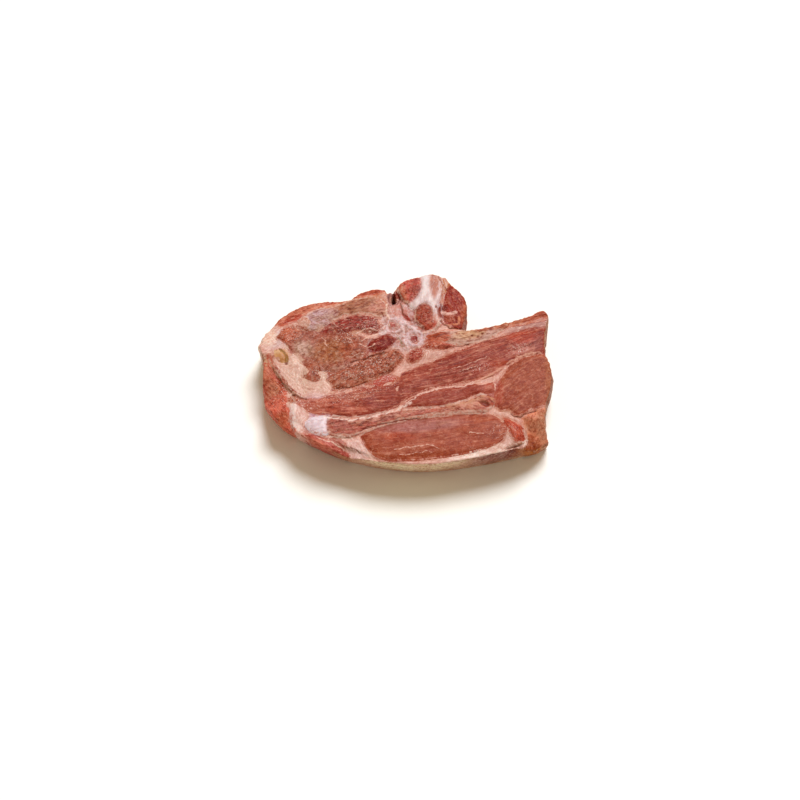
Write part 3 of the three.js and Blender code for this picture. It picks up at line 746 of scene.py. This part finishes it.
# the pale band along the foot: the fat's own pale edge, made lighter as painted light bounced up from the
# floor
foot = p[:, 2] + rindWork["footUneven"] * lumps(p, rindWork["footLump"], 18)
foot = rindWork["foot"] * smoothStep(*rindWork["footHeight"], foot) * side
rind = np.maximum(rind, foot)
foot = foot[:, None]
rindTint = rindTint * (1 - foot) + np.array(linearColor(rindWork["footPaleAndLitTone"])) * foot

vein, veinLine = lineDistance(p, wobble, paleLines)
paleLines = [{**paleLine, **stroke} for stroke in paleLines]
veinTint = np.array([linearColor(stroke["color"]) for stroke in paleLines])[veinLine]
veinLift = np.array([stroke["lift"] for stroke in paleLines])[veinLine]
crackShade, crackLine = lineDistance(p, wobble * 0.7, shadedCracks)
vein = np.where(top > onTop, vein, farAway)
crackShade = np.where(top > onTop, crackShade, farAway)
print("lines placed")

# painted glints: a little everywhere on the upper face, and full in their places
paintedGlint = np.full(len(p), paintedGlintBase)
for patch in paintedGlints:
    paintedGlint = np.maximum(paintedGlint, patch.get("strength", 1) * within(p + bent, patch, "paintedGlint"))
paintedGlint *= top

# the vertebra's bone and gristle pass into each other softly
isSoft = np.isin(owner, [nodeNames.index(name) for name in softPieces])
isSoft &= edge < skinWork["softWidth"]
fleshTint = evened(fleshTint, isSoft, skinWork["softSteps"])
print("tints placed")

# ---- relief
def bumpy(key, points):
    height, size, seed = bumps[key]
    return height * lumps(points, size, seed)


isLean = ofKind(owner, "lean", "dryLean")
isBone = ofKind(owner, "bone")
isFat = ofKind(owner, "fat")
web = within(p, webPlace, "web") * top * isFat

fibres = bumpy("fibres", grain) + bumpy("fineFibres", grain)
uneven = reliefWork["muscleFibres"] * fibres + bumpy("bundles", grain * [0.6, 1, 1])
uneven = relief * uneven + bumpy("swell", p) + ofKind(owner, "dryLean") * bumpy("dry", p)
lift = isLean * smoothStep(0, 1.6, edge) * uneven
lift += isFat * smoothStep(0, 0.7, edge) * (bumpy("fatStreaks", flow) + bumpy("fatSwell", p))
lift += web * smoothStep(0, 1.5, edge) * (bumpy("webLumps", p) + bumpy("webGrain", p))
pits = np.array([noise.voronoi(q)[0][0] for q in (grain[isBone] / reliefWork["boneHole"]).tolist()])
uneven = reliefWork["boneFibres"] * fibres[isBone] - reliefWork["boneHoles"] * smoothStep(0.42, 0.2, pits)
lift[isBone] += smoothStep(0, 0.9, edge[isBone]) * relief[isBone] * uneven
lift -= reliefWork["joint"] * np.exp(-(edge / reliefWork["jointLine"]) ** 2)
lift -= np.array([stroke["depth"] for stroke in shadedCracks])[crackLine] * np.exp(-crackShade ** 2) * top
lift += veinLift * np.exp(-vein ** 2) * top
for hollow in hollows:
    lift -= hollow["depth"] * within(p, hollow, "hollow") * top
    # painted shade: the crack's dark tone fills the hollow
    hollowShade = 1.6 * ovalDistance(p, hollow) ** 2
    crackShade = np.where(top > onTop, np.minimum(crackShade, hollowShade), crackShade)
# the last hollow is the hole beside the backbone: it has red walls, and no painted shade
inHole = (ovalDistance(p, hollows[-1]) < 1.3) & (lift < 0)
crackShade = np.where(inHole, farAway, crackShade)
web = np.where(inHole, 0, web)
for tint in (fleshTint, fatTint, rindTint):
    tint[inHole] = linearColor(holeTone)
# the outer side is uneven: lumps, and ragged just under the upper face
lift += side * (bumpy("sideSwell", p) + bumpy("sideGrain", p * [1, 1, 0.5]))
lift += (1 - top) * (1 - under) * smoothStep(*reliefWork["ragged"], p[:, 2]) * bumpy("ragged", p)
for bulge in bulges:
    lift += bulge["push"] * within(p, bulge, "bulge") * side
# the lower face lies on the table: it keeps flat, and only hollows show
lift = np.where(n[:, 2] < -0.2, np.minimum(lift, 0) * reliefWork["underside"], lift)
lift = np.clip(lift, *reliefWork["limits"])

skinValues = {
    ("FLOAT", "value"): dict(
        border=border, vein=np.minimum(vein, lineReach), crackShade=np.minimum(crackShade, lineReach),
        rind=rind, coarse=coarse, web=web, paintedGlint=paintedGlint),
    ("FLOAT_VECTOR", "vector"): dict(grain=grain, flow=flow),
    ("FLOAT_COLOR", "color"): dict(
        fleshTint=fleshTint, fatTint=fatTint, rindTint=rindTint, veinTint=veinTint),
}
sculpted = (p + n * lift[:, None]) * mm
skin.data.vertices.foreach_set("co", sculpted.astype(np.float32).ravel())
skin.data.update()
skinCorners = KDTree(len(sculpted))
for i, place in enumerate(sculpted.tolist()):
    skinCorners.insert(place, i)
skinCorners.balance()
print("skin sculpted")


# ---- the cut into pieces
def cuttingBlock(name):
    bm = mergedSolid([name], skinWork["side"])
    for v in bm.verts:
        _, normal, _, away = skinTree.find_nearest(v.co)
        if away < skinWork["onSkin"] * mm:
            v.co += normal * skinWork["reach"] * mm
    mesh = bpy.data.meshes.new("cut " + name)
    bm.to_mesh(mesh)
    bm.free()
    return newObject("cut " + name, mesh)


def cut(block, tool, operation):
    knife = block.modifiers.new("cut", "BOOLEAN")
    knife.solver = "MANIFOLD"
    knife.operation = operation
    knife.object = tool
    mesh = evaluatedMesh(block)
    block.modifiers.clear()
    return mesh


finished = {}
for name in nodeNames:
    if pieces[name]["kind"] == "fat":
        continue
    tool = cuttingBlock(name)
    finished[name] = cut(skin, tool, "INTERSECT")
    skin.data = cut(skin, tool, "DIFFERENCE")
    bpy.data.objects.remove(tool)
    print("cut", name, len(finished[name].polygons), len(skin.data.polygons))
finished["fat_seams"] = skin.data


def takeSkinValues(mesh):
    # each corner takes the values of the nearest corner of the whole skin
    nearest = [skinCorners.find(v.co)[1] for v in mesh.vertices]
    for (kind, key), group in skinValues.items():
        for name, values in group.items():
            layer = mesh.attributes.new(name, kind, "POINT")
            layer.data.foreach_set(key, values[nearest].astype(np.float32).ravel())


# ---- finishes
def addNode(tree, kind, settings, output=0):
    # Adds a node and gives back one of its outputs. Settings go by the name of a property, or by the
    # name or number of an input, and the output of another node is linked to its input.
    node = tree.nodes.new(kind)
    for key, value in settings.items():
        if isinstance(value, bpy.types.NodeSocket):
            tree.links.new(value, node.inputs[key])
        elif isinstance(key, int) or key in node.inputs:
            node.inputs[key].default_value = value
        else:
            setattr(node, key, value)
    return node.outputs[output] if node.outputs else None


def newMaterial(name):
    material = bpy.data.materials.new(name)
    material.use_nodes = True
    material.node_tree.nodes.clear()
    return material, material.node_tree


# Patterns of every finish: the size of a lump in mm, or in widths of a fibre for a pattern along the
# fibres or along the sheets of fat.
patterns = dict(
    clouds=dict(size=7),
    mottle=dict(size=3.2, detail=3, distortion=0.8),
    frays=dict(size=1.5, detail=3),
    fine=dict(size=0.45),
    bands=dict(size=5, along="grain", distortion=0.8),
    streaks=dict(size=0.55, along="flow", detail=3, distortion=0.4),
    webPale=dict(size=4, detail=3),
    webRed=dict(size=3, detail=4, distortion=1.5),
    broken=dict(size=1.6, detail=3),  # gaps in the pale lines
    glintSpecks=dict(size=0.75, distortion=0.6),  # specks of the painted glints
)
units = dict(place=mm, grain=1, flow=1)
overlays = dict(
    webPale="#dcc4c8", webRed="#b86a5c", paintedGlint="#ecd4cc", driedDeep="#c09078", driedBrown="#c49c84",
    driedPale="#dcbca4")
frayLength = 5.0  # how far the border of flesh and fat wanders, in mm


def tissue(name, look, fat):
    # Every finish is built alike: the piece's own flesh, and the fat that it frays into at its border.
    material, tree = newMaterial(name)
    outputs = {"FLOAT": "Fac", "FLOAT_VECTOR": "Vector", "FLOAT_COLOR": "Color"}
    source = {"place": addNode(tree, "ShaderNodeTexCoord", {}, "Object")}
    for (kind, _), group in skinValues.items():
        for key in group:
            source[key] = addNode(tree, "ShaderNodeAttribute", {"attribute_name": key}, outputs[kind])
    fibres = dict(
        strands=dict(size=look["strand"], along="grain", detail=3, distortion=0.4),
        specks=dict(size=look["speck"], along="grain", distortion=1.2))
    for key, pattern in {**patterns, **fibres}.items():
        along = pattern.get("along", "place")
        source[key] = addNode(tree, "ShaderNodeTexNoise", {
            "Vector": source[along],
            "Scale": 1 / (pattern["size"] * units[along]),
            "Detail": pattern.get("detail", 2),
            "Roughness": 0.62,
            "Distortion": pattern.get("distortion", 0),
        })

    def layer(below, above, *places, how="MIX"):
        # Puts a tone or colour over another. Its share is the product of its places. Each is a source,
        # with the values between which it passes, softly, from one share to another.
        whole = None
        for key, *ends in places:
            share = source[key]
            if ends:
                share = addNode(tree, "ShaderNodeMapRange", {
                    "interpolation_type": "SMOOTHSTEP", 0: share, **dict(enumerate(ends, 1))})
            if whole is not None:
                share = addNode(tree, "ShaderNodeMath", {"operation": "MULTIPLY", 0: whole, 1: share})
            whole = share
        if isinstance(above, str):
            above = linearColor(above)
        return addNode(tree, "ShaderNodeMix", {
            "data_type": "RGBA", "blend_type": how, 0: whole, 6: below, 7: above}, 2)

    def deepen(below, tone, *places):
        return layer(below, tone, *places, how="MULTIPLY")

    flesh = source["fleshTint"]
    flesh = deepen(flesh, look["cloudTone"], ("clouds", 0.45, 0.65, 0, look["clouds"]))
    flesh = deepen(flesh, look["deepTone"], ("strands", 0.54, 0.34, 0, look["deepShare"]), ["coarse"])
    # the pale tone's specks and pale mottle: in muscle partly flecks of fat, partly painted glints and
    # sheen of the moist surface
    flesh = layer(flesh, look["paleTone"], ("specks", 0.54, 0.72, 0, look["paleShare"]), ["coarse"])
    flesh = deepen(flesh, look["mottleTone"], ("mottle", 0.52, 0.34, 0, look["mottle"]))
    flesh = layer(flesh, look["paleTone"], ("mottle", 0.54, 0.72, 0, 0.4 * look["mottle"]))
    flesh = layer(flesh, look["paleTone"], ("bands", 0.56, 0.76, 0, 0.35))
    flesh = deepen(flesh, look["deepTone"], ("bands", 0.48, 0.28, 0, 0.45))
    rim = ("border", look["rimWidth"], 0.3, 0, look["rimShare"])
    flesh = layer(flesh, look["rimTone"], rim, ("frays", 0.35, 0.6, 0.4, 1))

    fatty = source["fatTint"]
    fatty = deepen(fatty, fat["deepTone"], ("streaks", 0.54, 0.36, 0, 0.7))
    fatty = layer(fatty, fat["paleTone"], ("streaks", 0.54, 0.70, 0, 0.7))
    fatty = deepen(fatty, fat["mottleTone"], ("mottle", 0.52, 0.34, 0, 0.6))
    fatty = deepen(fatty, fat["deepTone"], ("frays", 0.54, 0.36, 0, 0.5))
    fatty = layer(fatty, fat["coreTone"], ("border", -0.7, -2.0, 0, 0.2))
    fatty = layer(fatty, overlays["webPale"], ["web"], ("webPale", 0.42, 0.62, 0, 0.45))
    fatty = layer(fatty, overlays["webRed"], ["web"], ("webRed", 0.52, 0.36, 0, 0.8))

    # the border wanders, so that muscle and fat fray into each other
    wander = addNode(tree, "ShaderNodeMath", {
        "operation": "MULTIPLY_ADD", 0: source["frays"], 1: frayLength, 2: -0.51 * frayLength})
    source["wander"] = addNode(tree, "ShaderNodeMath", {
        "operation": "ADD", 0: wander, 1: source["border"]})
    color = layer(fatty, flesh, ("wander", -0.35, 0.45, 0, 1))
    color = layer(color, source["veinTint"], ("vein", 1.6, 0.3, 0, 1), ("broken", 0.36, 0.56, 0.15, 0.85))
    # painted highlights: small white glints laid over the colour of the upper face
    glintSpecks = ("glintSpecks", 0.55, 0.68, 0, 1)
    color = layer(color, overlays["paintedGlint"], ["paintedGlint"], glintSpecks, ("frays", 0.40, 0.56, 0, 0.8))

    dried = source["rindTint"]
    dried = deepen(dried, overlays["driedDeep"], ("mottle", 0.54, 0.34, 0, 0.8))
    dried = deepen(dried, overlays["driedBrown"], ("frays", 0.50, 0.34, 0, 0.6))
    dried = layer(dried, overlays["driedPale"], ("frays", 0.54, 0.70, 0, 0.5))
    color = layer(color, dried, ("rind", 0.35, 0.95, 0, 0.9), ("streaks", 0.30, 0.55, 0.5, 1))
    # painted shade: the dark crack tone in cracks and hollows
    color = layer(color, look["crackShadeTone"], ("crackShade", 1.7, 0.3, 0, 0.85))

    rise = addNode(tree, "ShaderNodeMath", {
        "operation": "MULTIPLY_ADD", 0: source["fine"], 1: 0.3, 2: source["strands"]})
    shader = addNode(tree, "ShaderNodeBsdfPrincipled", {
        "Base Color": color,
        "IOR": 1.33,
        "Specular IOR Level": 0.1,
        "Roughness": addNode(tree, "ShaderNodeMapRange", {
            "interpolation_type": "SMOOTHSTEP", 0: source["clouds"], 1: 0.3, 2: 0.7,
            3: look["rough"] - 0.06, 4: look["rough"] + 0.08}),
        "Subsurface Weight": look["soft"],
        "Subsurface Radius": (1.0, 0.35, 0.2),
        "Subsurface Scale": 1.0 * mm,
        "Coat Weight": look["wet"],
        "Coat Roughness": 0.2,
        "Normal": addNode(tree, "ShaderNodeBump", {
            "Strength": look["bump"], "Distance": 0.3 * mm, "Height": rise}),
    })
    addNode(tree, "ShaderNodeOutputMaterial", {"Surface": shader})
    return material


# The finishes. Cloud, mottle and deep tones multiply the piece's own tone, and the others cover it. In
# muscle the pale tone is partly flecks of fat and partly painted glints and sheen. A strand and a speck are
# so many widths of a fibre.
finishes = {
    # fresh muscle, sawn across its fibres: moist, in fine bundles with fat between them
    "lean": dict(
        strand=0.9, deepTone="#c8a08c", deepShare=0.95, speck=0.9, paleTone="#d89880", paleShare=0.66,
        cloudTone="#e4d2c0", clouds=0.7, crackShadeTone="#5e1c12", rimTone="#9c3c2c", rimWidth=0.8, rimShare=0.3,
        mottle=0.7, mottleTone="#e0b0a0", rough=0.42, wet=0.03, bump=0.5, soft=0.06),
    # muscle whose surface has begun to dry: browner, duller, with a pale bloom that is painted sheen
    "dryLean": dict(
        strand=1.2, deepTone="#b8967e", deepShare=1.0, speck=1.1, paleTone="#cca492", paleShare=0.66,
        cloudTone="#ddd0b0", clouds=0.8, crackShadeTone="#5a2414", rimTone="#a85a48", rimWidth=0.8, rimShare=0.3,
        mottle=0.9, mottleTone="#d0a890", rough=0.46, wet=0.05, bump=0.6, soft=0.05),
    # goat fat: firm, waxy and pinkish white, drawn into thin sheets between the muscles
    "fat": dict(
        strand=1.4, deepTone="#dcb4a6", deepShare=0.8, speck=1.2, paleTone="#eccfc2", paleShare=0.45,
        cloudTone="#e6dccf", clouds=0.5, crackShadeTone="#7a3c28", rimTone="#eccfc2", rimWidth=0.8, rimShare=0.0,
        coreTone="#e6c8c0", mottle=0.6, mottleTone="#e8bcae", rough=0.40, wet=0.08, bump=0.25, soft=0.12),
    # sawn spongy bone: a pale net with red marrow in its holes, inside a dense white shell
    "bone": dict(
        strand=1.5, deepTone="#a86a58", deepShare=1.0, speck=1.1, paleTone="#cda48c", paleShare=0.6,
        cloudTone="#dcc9a4", clouds=0.7, crackShadeTone="#74281a", rimTone="#d4b0a2", rimWidth=1.5, rimShare=0.7,
        mottle=0.7, mottleTone="#dca894", rough=0.48, wet=0.05, bump=0.7, soft=0.04),
    # cartilage: glassy, bluish white and smooth
    "cartilage": dict(
        strand=3.0, deepTone="#cba098", deepShare=0.5, speck=2.0, paleTone="#e4d6da", paleShare=0.4,
        cloudTone="#d9c2c2", clouds=0.5, crackShadeTone="#8a4438", rimTone="#dcc0bc", rimWidth=1.0, rimShare=0.4,
        mottle=0.3, mottleTone="#e4ccc8", rough=0.32, wet=0.2, bump=0.2, soft=0.15),
    # the neck ligament: yellow, tough and smooth
    "ligament": dict(
        strand=1.6, deepTone="#c79d78", deepShare=0.4, speck=2.0, paleTone="#d9b08a", paleShare=0.3,
        cloudTone="#d8b98c", clouds=0.6, crackShadeTone="#84581f", rimTone="#b88450", rimWidth=0.8, rimShare=0.4,
        mottle=0.5, mottleTone="#e0c4a0", rough=0.40, wet=0.12, bump=0.25, soft=0.10),
}
materials = {kind: tissue(kind, look, finishes["fat"]) for kind, look in finishes.items()}

bpy.data.objects.remove(skin)
for name, mesh in finished.items():
    kind = pieces[name]["kind"]
    mesh.name = name + "_flesh"
    piece = newObject(name + "_flesh", mesh)
    if "custom_normal" in mesh.attributes:
        mesh.attributes.remove(mesh.attributes["custom_normal"])
    takeSkinValues(mesh)
    mesh.materials.clear()
    mesh.materials.append(materials[kind])
    mesh.polygons.foreach_set("use_smooth", [True] * len(mesh.polygons))
    mesh.set_sharp_from_angle(angle=math.radians(skinWork["sharpAngle"]))
    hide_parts(name)
    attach(piece, "root")
print("pieces finished")

# ---- floor, light and camera
room = dict(
    floor="#fcfcfa",
    floorSize=20,  # m from its middle to its edge
    sun=3.3,  # strength of the light from behind, to the right
    sunTone=(0.94, 0.965, 1.0),
    sunFrom=(8, 20, 29),  # direction it comes from
    sunWidth=31,  # degrees across, for the soft edge of the shadow
    fill=0.43,
    fillTone=(1.0, 0.83, 0.58),
    backdrop="#f4f2ee",
)
shot = dict(
    aim=(-3.4, -19.0, 13.0),  # what is in the middle of the picture, in mm
    tilt=32,  # degrees off straight down
    away=1300,  # mm
    pixel=0.68,  # mm in each pixel of the photo
    pixels=800,
    sensor=36,
)


def makeFloor():
    bm = bmesh.new()
    bmesh.ops.create_grid(bm, x_segments=1, y_segments=1, size=room["floorSize"])
    mesh = bpy.data.meshes.new("floor")
    bm.to_mesh(mesh)
    bm.free()
    floor = newObject("floor", mesh)
    material, tree = newMaterial("white paper")
    shader = addNode(tree, "ShaderNodeBsdfPrincipled", {
        "Base Color": linearColor(room["floor"]), "Roughness": 0.9, "Specular IOR Level": 0.0})
    addNode(tree, "ShaderNodeOutputMaterial", {"Surface": shader})
    mesh.materials.append(material)


def makeLight():
    sun = bpy.data.lights.new("sun", "SUN")
    sun.energy = room["sun"]
    sun.color = room["sunTone"]
    sun.angle = math.radians(room["sunWidth"])
    lamp = newObject("sun", sun)
    lamp.rotation_euler = Vector(room["sunFrom"]).to_track_quat("Z", "Y").to_euler()
    world = bpy.data.worlds.new("studio")
    bpy.context.scene.world = world
    world.use_nodes = True
    tree = world.node_tree
    tree.nodes.clear()
    fill = addNode(tree, "ShaderNodeBackground", {
        "Color": (*room["fillTone"], 1), "Strength": room["fill"]})
    backdrop = addNode(tree, "ShaderNodeBackground", {"Color": linearColor(room["backdrop"])})
    seen = addNode(tree, "ShaderNodeLightPath", {}, "Is Camera Ray")
    sky = addNode(tree, "ShaderNodeMixShader", {0: seen, 1: fill, 2: backdrop})
    addNode(tree, "ShaderNodeOutputWorld", {"Surface": sky})


def makeCamera():
    tilt = math.radians(shot["tilt"])
    lens = bpy.data.cameras.new("camera")
    lens.sensor_width = shot["sensor"]
    lens.lens = shot["sensor"] * shot["away"] / (shot["pixels"] * shot["pixel"])
    camera = newObject("camera", lens)
    camera.rotation_euler = (tilt, 0, 0)
    back = Vector((0, -math.sin(tilt), math.cos(tilt)))
    camera.location = (Vector(shot["aim"]) + back * shot["away"]) * mm
    bpy.context.scene.camera = camera


makeFloor()
makeLight()
makeCamera()
bpy.context.scene.view_settings.view_transform = "Standard"
bpy.context.scene.view_settings.look = "None"
